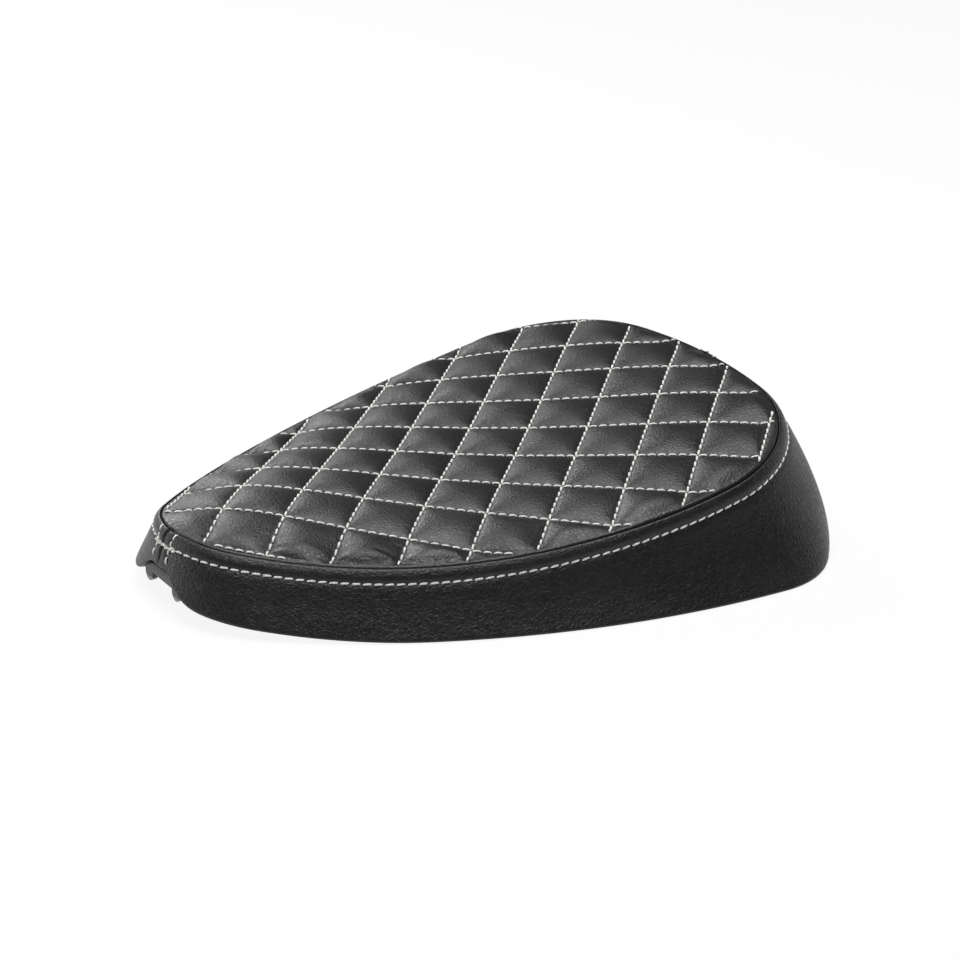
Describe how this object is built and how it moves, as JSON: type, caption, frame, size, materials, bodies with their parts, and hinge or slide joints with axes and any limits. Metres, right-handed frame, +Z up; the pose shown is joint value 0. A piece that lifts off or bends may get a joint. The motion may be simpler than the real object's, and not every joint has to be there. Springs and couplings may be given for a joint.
{
  "type": "motorcycle seat",
  "caption": "Solo motorcycle seat with a diamond-quilted, scooped top, stitched side skirts, an arched nose notch and a moulded pan with bracket and studs.",
  "frame": {"origin": "centre of the bounding box in plan, on the hem plane that the seat rests on", "axes": "+X to the rear of the seat, +Y to the rider's right, +Z up"},
  "size_m": [0.355, 0.3024, 0.0713],
  "materials": {
    "quilted_vinyl": "satin",
    "skirt_vinyl": "satin",
    "stitching": "matte",
    "foam": "matte",
    "cloth": "matte",
    "pan_plastic": "textured",
    "black_steel": "satin",
    "zinc_steel": "satin",
    "brass": "satin",
    "rubber": "matte"
  },
  "bodies": {
    "root": {"quilted_panel": "quilted_vinyl", "panel_sew_foam": "foam", "panel_backing_cloth": "cloth", "side_skirt_left": "skirt_vinyl", "side_skirt_right": "skirt_vinyl", "band_seam_tape": "cloth", "nose_seam_tape": "cloth", "rear_seam_tape": "cloth", "foam_core": "foam", "seat_pan": "pan_plastic", "cover_staples": "zinc_steel", "front_bracket": "black_steel", "bracket_weld_nut": "zinc_steel", "bracket_washers": "zinc_steel", "bracket_screws": "zinc_steel", "bracket_tee_nuts": "zinc_steel", "rear_mount_plate": "black_steel", "rear_studs": "zinc_steel", "plate_inserts": "brass", "plate_washers": "zinc_steel", "plate_screws": "zinc_steel", "bumper_front_left": "rubber", "bumper_front_right": "rubber", "bumper_rear_left": "rubber", "bumper_rear_right": "rubber", "bumper_washers": "zinc_steel", "bumper_screws": "zinc_steel"}
  },
  "joints": []
}
